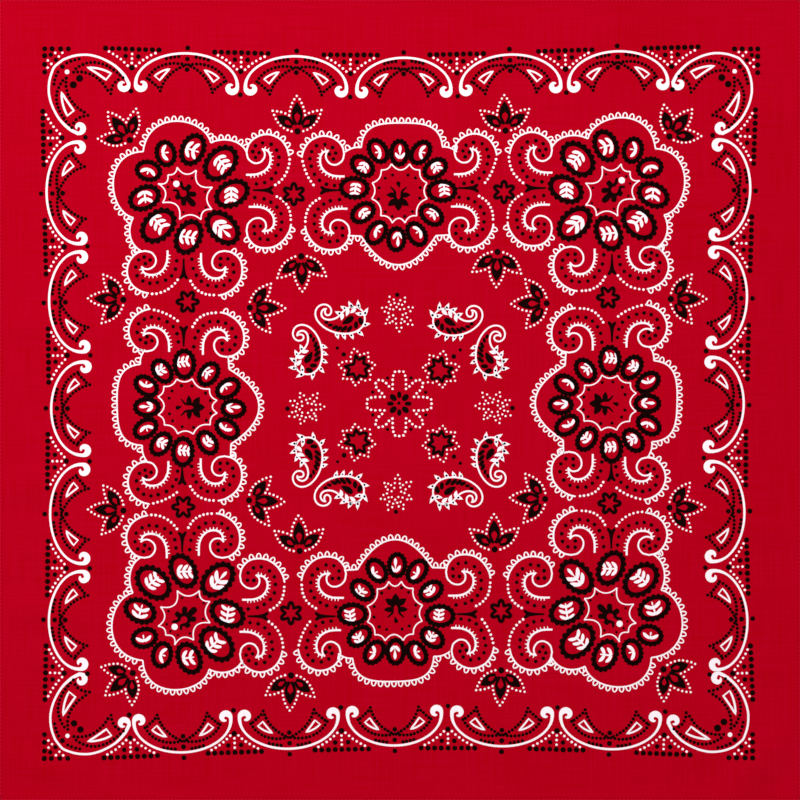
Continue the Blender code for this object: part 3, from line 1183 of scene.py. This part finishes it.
def centre_flower(pen):
    """Eight dotted lobes round a ring of black drops."""
    for k in range(8):
        lobe = pen.at(0, 0, 45 * k)
        on_axis = k % 2 == 0
        for side in (-1, 1):
            half = lobe.at(0, 0, 0, side < 0)
            for place in AXIS_LOBE if on_axis else DIAGONAL_LOBE:
                half.dot(WHITE, place, FINE_DOT)
        if on_axis:
            lobe.dot(WHITE, (0, 22.2), FINE_DOT)
            drop(lobe, BLACK, (0, 3.8), (0, 8.4), 2.6)
        else:
            drop(lobe, BLACK, (0, 3.2), (0, 8.6), 3.5)
    for x, y in ((8.0, 17.7), (18.2, 7.8)):
        for far_x in (-x, x):
            for far_y in (-y, y):
                pen.dot(BLACK, (far_x, far_y), 0.95)
    pen.dot(BLACK, (-0.2, 0.3), 0.95)


def paisley(pen):
    """A curled paisley with leaf barbs, a black drop and slanted black bars."""
    head = chained(bezier((-0.9, 1.8), (-2.0, -2.4), (2.6, -3.0), (3.2, 0.6), steps=12),
                   bezier((3.2, 0.6), (3.7, 4.0), (0.2, 6.0), (-2.4, 5.6), steps=10),
                   bezier((-2.4, 5.6), (-8.4, 4.7), (-9.6, -2.6), (-4.4, -7.6), steps=16))
    body = chained(bezier((-4.4, -7.6), (-0.4, -11.8), (6.0, -14.2), (12.6, -14.2), steps=16),
                   bezier((12.6, -14.2), (21.0, -14.2), (26.8, -9.6), (26.4, -3.6), steps=14),
                   bezier((26.4, -3.6), (26.0, 1.6), (22.6, 4.6), (18.4, 4.4), steps=12))
    inside = chained(bezier((18.4, 4.4), (12.4, 4.2), (10.6, -0.8), (7.2, -3.2), steps=14),
                     bezier((7.2, -3.2), (2.4, -6.2), (-3.6, -4.8), (-3.6, -0.6), steps=12),
                     bezier((-3.6, -0.6), (-3.4, 1.6), (-1.6, 3.2), (0.1, 2.4), steps=8))
    pen.stroke(WHITE, chained(head, body), 1.65)
    pen.stroke(WHITE, inside, 1.7)
    for barb in rows(BARB_COLUMNS, PAISLEY_BARBS):
        leaf = pen.at(barb["x"], barb["y"], barb["turn"])
        reach = barb["length"]
        path = bezier((-0.4, 0), (reach * 0.5, 0.7), (reach, 0.1), steps=8)
        leaf.stroke(WHITE, path, tapered(3.1, 9, 2.2, 0.2, 0.35))
        if barb["eye"]:
            leaf.dot(BLACK, (reach * 0.3, 0.3), barb["eye"])
    for bar in rows(BAR_COLUMNS, PAISLEY_BARS):
        slant = pen.at(bar["x"], bar["y"], bar["turn"])
        reach = bar["length"] / 2
        drop(slant, BLACK, (-reach, 0), (reach, 0), bar["width"])
    pen.stroke(BLACK, bezier((10.9, -7.2), (14.2, -6.1), (18.3, -2.3), steps=14),
               tapered(3.9, 15, 0.3, 1.3, 0.72))


# ================================================================ printing
def draw_border(pen):
    for side in rows(BORDER_COLUMNS, BORDER):
        edge = pen.at(0, 0, side["turn"])
        places = [complex(a, d) for a, d in zip(side["along"], side["depth"])]
        for k, place in enumerate(places):
            run = places[min(k + 1, 5)] - places[max(k - 1, 0)]
            junction(edge.at(place.real, place.imag, math.degrees(cmath.phase(run))))
        for a, b, fit in zip(places, places[1:], rows(SCALLOP_COLUMNS, SCALLOPS)):
            middle = (a + b) / 2 + complex(fit["slide"], fit["rise"])
            scallop(edge.at(middle.real, middle.imag, math.degrees(cmath.phase(b - a)), False,
                            abs(b - a) / SCALLOP_PITCH * fit["share"]))
    repeat(pen, border_corner, BORDER_CORNERS)


def draw_sprigs(pen):
    repeat(pen, sprig, SPRIGS)


def draw_medallions(pen):
    repeat(pen, corner_medallion, CORNER_MEDALLIONS)
    repeat(pen, side_medallion, SIDE_MEDALLIONS)


def draw_scrolls(pen):
    for group in rows(SCROLL_COLUMNS, SCROLL_GROUPS):
        place = pen.at(group["x"], group["y"], group["turn"])
        scroll_group(place, group["curl_x"], group["curl_y"], group["corner"])
    repeat(pen, gap_flower, GAP_FLOWERS)


def draw_centre(pen):
    centre_flower(pen.at(*CENTRE_FLOWER))
    repeat(pen, centre_star, STARS)
    repeat(pen, dotted_flower, DOTTED_FLOWERS)
    repeat(pen, paisley, PAISLEYS)


LAYERS, LAYER_STEP = 8, 0.004      # heights that strokes take in turn, and mm between them
DOT_SIDES = 12
DOT_SWAY, DOT_SWELL = 0.08, 0.05   # how far a dot strays, in mm, and the share its size varies


def ribbons(name, strokes, profile):
    """Every stroke as a flat ribbon, from one curve object with a straight profile."""
    curve = bpy.data.curves.new(name, "CURVE")
    curve.dimensions = "3D"
    curve.twist_mode = "Z_UP"
    curve.bevel_mode = "OBJECT"
    curve.bevel_object = profile
    for k, (path, widths, closed) in enumerate(strokes):
        # Each stroke lies a hair higher or lower than the next, as no two may share a face.
        height = (k % LAYERS) * LAYER_STEP * MM
        spline = curve.splines.new("POLY")
        spline.points.add(len(path) - 1)
        flat = [value for p in path for value in (p.real * MM, p.imag * MM, height, 1.0)]
        spline.points.foreach_set("co", flat)
        spline.points.foreach_set("radius", widths)
        spline.use_cyclic_u = closed
    select_only(add_object(name, curve))
    bpy.ops.object.convert(target="MESH")
    return bpy.context.view_layer.objects.active


def straight_profile():
    """A line one millimetre long, the cross-section of a ribbon one millimetre wide."""
    curve = bpy.data.curves.new("ribbon_profile", "CURVE")
    spline = curve.splines.new("POLY")
    spline.points.add(1)
    spline.points[0].co = (-0.5 * MM, 0, 0, 1)
    spline.points[1].co = (0.5 * MM, 0, 0, 1)
    return add_object("ribbon_profile", curve)


def discs(name, dots, shaky):
    """Every dot as a disc: one disc placed on points, at each dot's own size."""
    bpy.ops.object.select_all(action="DESELECT")
    bpy.ops.mesh.primitive_circle_add(vertices=DOT_SIDES, radius=MM, fill_type="NGON")
    disc = bpy.context.object
    mesh = bpy.data.meshes.new(name)
    mesh.from_pydata([((p.real + shaky.uniform(-DOT_SWAY, DOT_SWAY)) * MM,
                       (p.imag + shaky.uniform(-DOT_SWAY, DOT_SWAY)) * MM, -0.01 * MM)
                      for p, r in dots], [], [])
    size = mesh.attributes.new("dot_radius", "FLOAT", "POINT")
    for k, (p, radius) in enumerate(dots):
        size.data[k].value = radius * shaky.uniform(1 - DOT_SWELL, 1 + DOT_SWELL)
    obj = add_object(name, mesh)
    group = bpy.data.node_groups.new("discs_on_points", "GeometryNodeTree")
    group.interface.new_socket("Geometry", in_out="INPUT", socket_type="NodeSocketGeometry")
    group.interface.new_socket("Geometry", in_out="OUTPUT", socket_type="NodeSocketGeometry")
    points = add_node(group, "NodeGroupInput").outputs[0]
    shape = add_node(group, "GeometryNodeObjectInfo", {"Object": disc}).outputs["Geometry"]
    radius = add_node(group, "GeometryNodeInputNamedAttribute",
                      {"data_type": "FLOAT", "Name": "dot_radius"}).outputs["Attribute"]
    placed = add_node(group, "GeometryNodeInstanceOnPoints",
                      links={"Points": points, "Instance": shape, "Scale": radius})
    real = add_node(group, "GeometryNodeRealizeInstances",
                    links={"Geometry": placed.outputs["Instances"]})
    add_node(group, "NodeGroupOutput", links={0: real.outputs[0]})
    apply_modifier(obj, "NODES", node_group=group)
    bpy.data.objects.remove(disc, do_unlink=True)
    return obj


def face_up(mesh):
    """Turn every face of a flat mesh so that it looks up."""
    wrong = [face for face in mesh.polygons if face.normal.z < 0]
    for face in wrong:
        face.flip()
    mesh.update()


def print_in_ink(name, ink, lift, profile):
    """Make one ink of a group of motifs: thin closed slabs that follow the cloth."""
    shaky = random.Random(name)
    settings = bpy.context.scene.bandana_print
    spread = (settings.white_spread if ink.name == WHITE else settings.black_spread) / MM
    parts = []
    if ink.dots:
        parts.append(discs(name + "_dots", [(p, r + spread) for p, r in ink.dots], shaky))
    if ink.strokes:
        strokes = [(path, [max(w + 2 * spread, 0.4 * w) for w in widths], closed)
                   for path, widths, closed in ink.strokes]
        parts.append(ribbons(name + "_strokes", strokes, profile))
    obj = joined(parts, name)
    face_up(obj.data)
    for vert in obj.data.vertices:
        vert.co.z += cloth_surface(vert.co.x, vert.co.y) + lift
    apply_modifier(obj, "SOLIDIFY", thickness=settings.film, offset=-1.0)
    select_only(obj)
    bpy.ops.object.shade_flat()
    return obj


def print_group(name, draw):
    """Draw a group of motifs, then make its white and its black ink."""
    inks = {WHITE: Ink(WHITE), BLACK: Ink(BLACK)}
    draw(Pen(inks))
    settings = bpy.context.scene.bandana_print
    profile = straight_profile()
    for ink, lift, material, slot in (
            (WHITE, settings.white_lift, white_ink(), "white_print"),
            (BLACK, settings.black_lift, black_ink(), "black_print")):
        piece = print_in_ink("print_%s_%s" % (name, ink), inks[ink], lift, profile)
        finish_piece(piece, material, slot)
    bpy.data.objects.remove(profile, do_unlink=True)


# ================================================================ operators
class BANDANA_OT_cloth(bpy.types.Operator):
    """Lay the square of cloth with its soft creases"""
    bl_idname = "bandana.cloth"
    bl_label = "Cloth"

    def execute(self, context):
        cloth = context.scene.bandana_cloth
        bpy.ops.object.select_all(action="DESELECT")
        bpy.ops.mesh.primitive_grid_add(x_subdivisions=cloth.cells, y_subdivisions=cloth.cells,
                                        size=2 * PANEL_HALF)
        panel = context.object
        panel.name = "cotton_square"
        inner_half = PANEL_HALF - EDGE_CELL
        spread = inner_half / (PANEL_HALF * (1 - 2 / cloth.cells))
        for vert in panel.data.vertices:
            for axis in (0, 1):
                if abs(vert.co[axis]) < inner_half:
                    vert.co[axis] *= spread
            vert.co.z = cloth_surface(vert.co.x, vert.co.y)
        apply_modifier(panel, "SOLIDIFY", thickness=cloth.thickness, offset=-1.0)
        smooth_top(panel.data)
        finish_piece(panel, dyed_cotton(), "printed_cotton", "cloth_panel")
        return {"FINISHED"}


HEM_CELLS = 320
CORNER_ROUND = 1.2 * MM            # how far the square's corners are cut back
PUCKER_HEIGHT = 0.03 * MM
PUCKER_PITCH = 5.3 * MM
HEM_PROFILE = (
    # share of the hem's width from its outer fold inwards, share of its height
    (0.000, 0.50), (0.012, 0.72), (0.040, 0.90), (0.090, 0.99), (0.300, 1.00), (0.560, 1.00),
    (0.700, 0.99), (0.760, 0.97), (0.800, 0.95), (0.840, 0.97), (0.890, 0.98), (0.940, 0.97),
    (0.980, 0.95), (1.000, 0.92),
)


class BANDANA_OT_hems(bpy.types.Operator):
    """Fold the four narrow hems"""
    bl_idname = "bandana.hems"
    bl_label = "Hems"

    def execute(self, context):
        cloth = context.scene.bandana_cloth
        for node, turn in HEM_TURNS:
            full = node in ("hem_top", "hem_bottom")
            reach = HALF if full else HALF - HEM_WIDTH
            bpy.ops.object.select_all(action="DESELECT")
            bpy.ops.mesh.primitive_grid_add(x_subdivisions=HEM_CELLS,
                                            y_subdivisions=len(HEM_PROFILE) - 1, size=2.0)
            hem = context.object
            hem.name = "cotton_" + node
            bpy.ops.object.mode_set(mode="EDIT")
            bpy.ops.mesh.select_all(action="SELECT")
            bpy.ops.mesh.extrude_region_move(TRANSFORM_OT_translate={"value": (0, 0, -1.0)})
            bpy.ops.mesh.select_all(action="SELECT")
            bpy.ops.mesh.normals_make_consistent(inside=False)
            bpy.ops.object.mode_set(mode="OBJECT")
            spin = cmath.rect(1.0, math.radians(turn))
            for vert in hem.data.vertices:
                row = round((1 - vert.co.y) / 2 * (len(HEM_PROFILE) - 1))
                inwards, level = HEM_PROFILE[row]
                along = vert.co.x * reach
                if full:
                    at_end = abs(vert.co.x) > 0.999
                    cut = at_end * (1 - min(1.0, inwards * 5))
                    along -= math.copysign(CORNER_ROUND, along) * cut
                place = complex(along, HALF - inwards * HEM_WIDTH) * spin
                pucker = PUCKER_HEIGHT * math.sin(math.tau * along / PUCKER_PITCH)
                top = cloth.hem_height * level + pucker * level
                under = vert.co.z < -0.5
                vert.co.x, vert.co.y = place.real, place.imag
                if under:
                    vert.co.z = 0.0
                else:
                    vert.co.z = top + crease_height(place.real, place.imag)
            smooth_top(hem.data)
            finish_piece(hem, dyed_cotton(), "hem_cotton", node)
        return {"FINISHED"}


STITCH_SHARE = 0.8                 # length of a stitch as a share of the pitch
STITCH_SWAY = 0.06                 # how far a stitch strays from its row, in mm


class BANDANA_OT_stitches(bpy.types.Operator):
    """Sew a row of lockstitches along each hem"""
    bl_idname = "bandana.stitches"
    bl_label = "Stitches"

    def execute(self, context):
        sewing = context.scene.bandana_stitching
        cloth = context.scene.bandana_cloth
        row_length = SIDE - 2 * sewing.inset
        count = int(row_length / sewing.pitch)
        pitch = row_length / count
        long_half = pitch * STITCH_SHARE / 2
        bpy.ops.object.select_all(action="DESELECT")
        bpy.ops.mesh.primitive_uv_sphere_add(segments=8, ring_count=6, radius=1.0)
        stitch = context.object
        for vert in stitch.data.vertices:
            # The sphere's poles become the stitch's two ends, which dive into the cloth.
            along = vert.co.z
            dive = along ** 4 * sewing.thread * 0.9
            vert.co = Vector((along * long_half, vert.co.x * sewing.thread / 2,
                              vert.co.y * sewing.thread / 2 - dive))
            vert.co.x += -row_length / 2 + pitch / 2
        apply_modifier(stitch, "ARRAY", count=count, use_relative_offset=False,
                       use_constant_offset=True, constant_offset_displace=(pitch, 0, 0))
        rows_of_four = [stitch]
        for k in range(3):
            copy = stitch.copy()
            copy.data = stitch.data.copy()
            context.collection.objects.link(copy)
            rows_of_four.append(copy)
        shaky = random.Random("stitches")
        per_stitch = len(stitch.data.vertices) // count
        for k, row in enumerate(rows_of_four):
            spin = cmath.rect(1.0, math.radians(90 * k))
            for index, vert in enumerate(row.data.vertices):
                if index % per_stitch == 0:
                    sway = shaky.uniform(-STITCH_SWAY, STITCH_SWAY) * MM
                place = complex(vert.co.x, HALF - sewing.inset + vert.co.y + sway) * spin
                level = cloth.hem_height * 0.95 + sewing.thread * 0.1
                vert.co.z += level + crease_height(place.real, place.imag)
                vert.co.x, vert.co.y = place.real, place.imag
        piece = joined(rows_of_four, "hem_stitches")
        piece.data.shade_smooth()
        finish_piece(piece, sewing_thread(), "sewing_thread")
        return {"FINISHED"}


class PrintStep:
    """Prints one group of motifs: `motifs` is the group's name and what draws it."""

    def execute(self, context):
        print_group(*self.motifs)
        return {"FINISHED"}


class BANDANA_OT_print_border(PrintStep, bpy.types.Operator):
    """Print the scalloped border"""
    bl_idname = "bandana.print_border"
    bl_label = "Border print"
    motifs = ("border", draw_border)


class BANDANA_OT_print_sprigs(PrintStep, bpy.types.Operator):
    """Print the sprigs"""
    bl_idname = "bandana.print_sprigs"
    bl_label = "Sprig print"
    motifs = ("sprigs", draw_sprigs)


class BANDANA_OT_print_medallions(PrintStep, bpy.types.Operator):
    """Print the eight medallions"""
    bl_idname = "bandana.print_medallions"
    bl_label = "Medallion print"
    motifs = ("medallions", draw_medallions)


class BANDANA_OT_print_scrolls(PrintStep, bpy.types.Operator):
    """Print the scrolls between the medallions"""
    bl_idname = "bandana.print_scrolls"
    bl_label = "Scroll print"
    motifs = ("scrolls", draw_scrolls)


class BANDANA_OT_print_centre(PrintStep, bpy.types.Operator):
    """Print the centre: flowers, stars and paisleys"""
    bl_idname = "bandana.print_centre"
    bl_label = "Centre print"
    motifs = ("centre", draw_centre)


class BANDANA_OT_declare(bpy.types.Operator):
    """A last step that leaves the scene as it is"""
    bl_idname = "bandana.declare"
    bl_label = "Cut size"

    def execute(self, context):
        return {"FINISHED"}


FLOOR_SIZE = 6.0
FLOOR_DROP = 0.1 * MM              # keeps the floor's face clear of the cloth's
ROOM_LIGHT = 0.45
LAMP_COLUMNS = ("name", "place", "size", "power")
LAMPS = (
    ("key_light", (-0.65, 1.05, 1.7), 0.9, 49.0),
    ("fill_light", (1.6, -0.6, 2.2), 1.6, 9.0),
)


class BANDANA_OT_stage(bpy.types.Operator):
    """Set the floor, the soft light and the camera straight above"""
    bl_idname = "bandana.stage"
    bl_label = "Stage"

    def execute(self, context):
        stage = context.scene.bandana_stage
        bpy.ops.object.select_all(action="DESELECT")
        bpy.ops.mesh.primitive_plane_add(size=FLOOR_SIZE, location=(0, 0, 0))
        floor = context.object
        floor.name = "floor"
        for vert in floor.data.vertices:
            vert.co.z = -FLOOR_DROP
        floor.data.materials.append(pale_floor())
        for row in rows(LAMP_COLUMNS, LAMPS):
            lamp = bpy.data.lights.new(row["name"], "AREA")
            lamp.shape = "DISK"
            lamp.size = row["size"]
            lamp.energy = row["power"]
            light = add_object(row["name"], lamp)
            light.location = row["place"]
            light.rotation_euler = (-light.location).to_track_quat("-Z", "Y").to_euler()
        world = bpy.data.worlds.new("soft_room")
        world.use_nodes = True
        set_inputs(world.node_tree.nodes["Background"],
                   {"Color": (1, 1, 1, 1), "Strength": ROOM_LIGHT})
        context.scene.world = world
        context.scene.view_settings.view_transform = "Standard"
        lens = bpy.data.cameras.new("camera_above")
        lens.sensor_width = 36.0
        lens.lens = lens.sensor_width * stage.camera_height / stage.field
        lens.clip_end = 20.0
        camera = add_object("camera_above", lens)
        camera.location = (0, 0, stage.camera_height)
        context.scene.camera = camera
        return {"FINISHED"}


STEPS = (
    BANDANA_OT_stage,
    BANDANA_OT_cloth,
    BANDANA_OT_hems,
    BANDANA_OT_stitches,
    BANDANA_OT_print_border,
    BANDANA_OT_print_sprigs,
    BANDANA_OT_print_medallions,
    BANDANA_OT_print_scrolls,
    BANDANA_OT_print_centre,
    BANDANA_OT_declare,
)


class BANDANA_PT_panel(bpy.types.Panel):
    """The bandana's settings and the steps that build it"""
    bl_idname = "BANDANA_PT_panel"
    bl_label = "Bandana"
    bl_space_type = "VIEW_3D"
    bl_region_type = "UI"
    bl_category = "Bandana"

    def draw(self, context):
        for name, group in SETTINGS:
            box = self.layout.box()
            for key in group.__annotations__:
                box.prop(getattr(context.scene, name), key)
        for step in STEPS:
            self.layout.operator(step.bl_idname)


def register():
    for name, group in SETTINGS:
        bpy.utils.register_class(group)
        setattr(bpy.types.Scene, name, bpy.props.PointerProperty(type=group))
    for step in STEPS:
        bpy.utils.register_class(step)
    bpy.utils.register_class(BANDANA_PT_panel)


def unregister():
    bpy.utils.unregister_class(BANDANA_PT_panel)
    for step in reversed(STEPS):
        bpy.utils.unregister_class(step)
    for name, group in reversed(SETTINGS):
        delattr(bpy.types.Scene, name)
        bpy.utils.unregister_class(group)


def main():
    register()
    for step in STEPS:
        run = getattr(bpy.ops.bandana, step.bl_idname.partition(".")[2])
        run()


if __name__ == "__main__":
    main()
